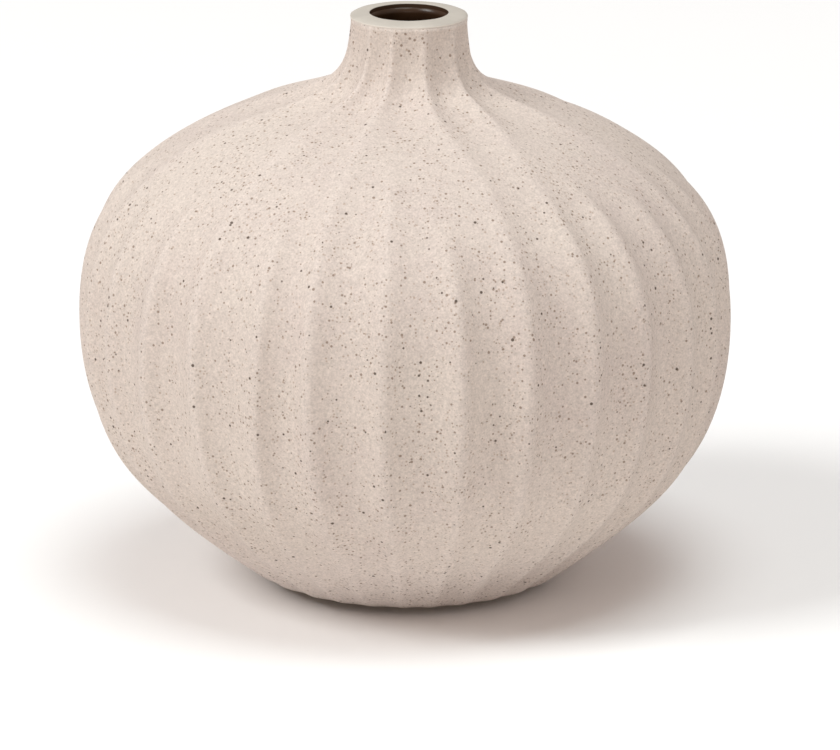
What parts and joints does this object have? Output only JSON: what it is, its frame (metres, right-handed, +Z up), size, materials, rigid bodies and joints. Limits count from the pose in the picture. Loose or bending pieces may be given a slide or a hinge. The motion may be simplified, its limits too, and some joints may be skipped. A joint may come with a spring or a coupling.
{
  "type": "stoneware pottery vase",
  "caption": "Squat round stoneware bud vase with hand-cut vertical flutes, a short narrow neck, a smooth lip and a speckled matte coat.",
  "frame": {"origin": "middle of the face the vase stands on", "axes": "+Z up along the axis of the vase and out of its mouth; -Y is the front seen in the reference view, +X to its right"},
  "size_m": [0.1497, 0.1498, 0.1335],
  "materials": {
    "clay": "matte",
    "bare_clay": "matte",
    "slip": "matte",
    "brown_glaze": "gloss",
    "lip": "satin"
  },
  "bodies": {
    "root": {"belly_wall": "clay", "neck_collar": "clay", "foot_ring": "bare_clay", "slip_coat": "slip", "glaze_lining": "brown_glaze", "lip_band": "lip"}
  },
  "joints": []
}
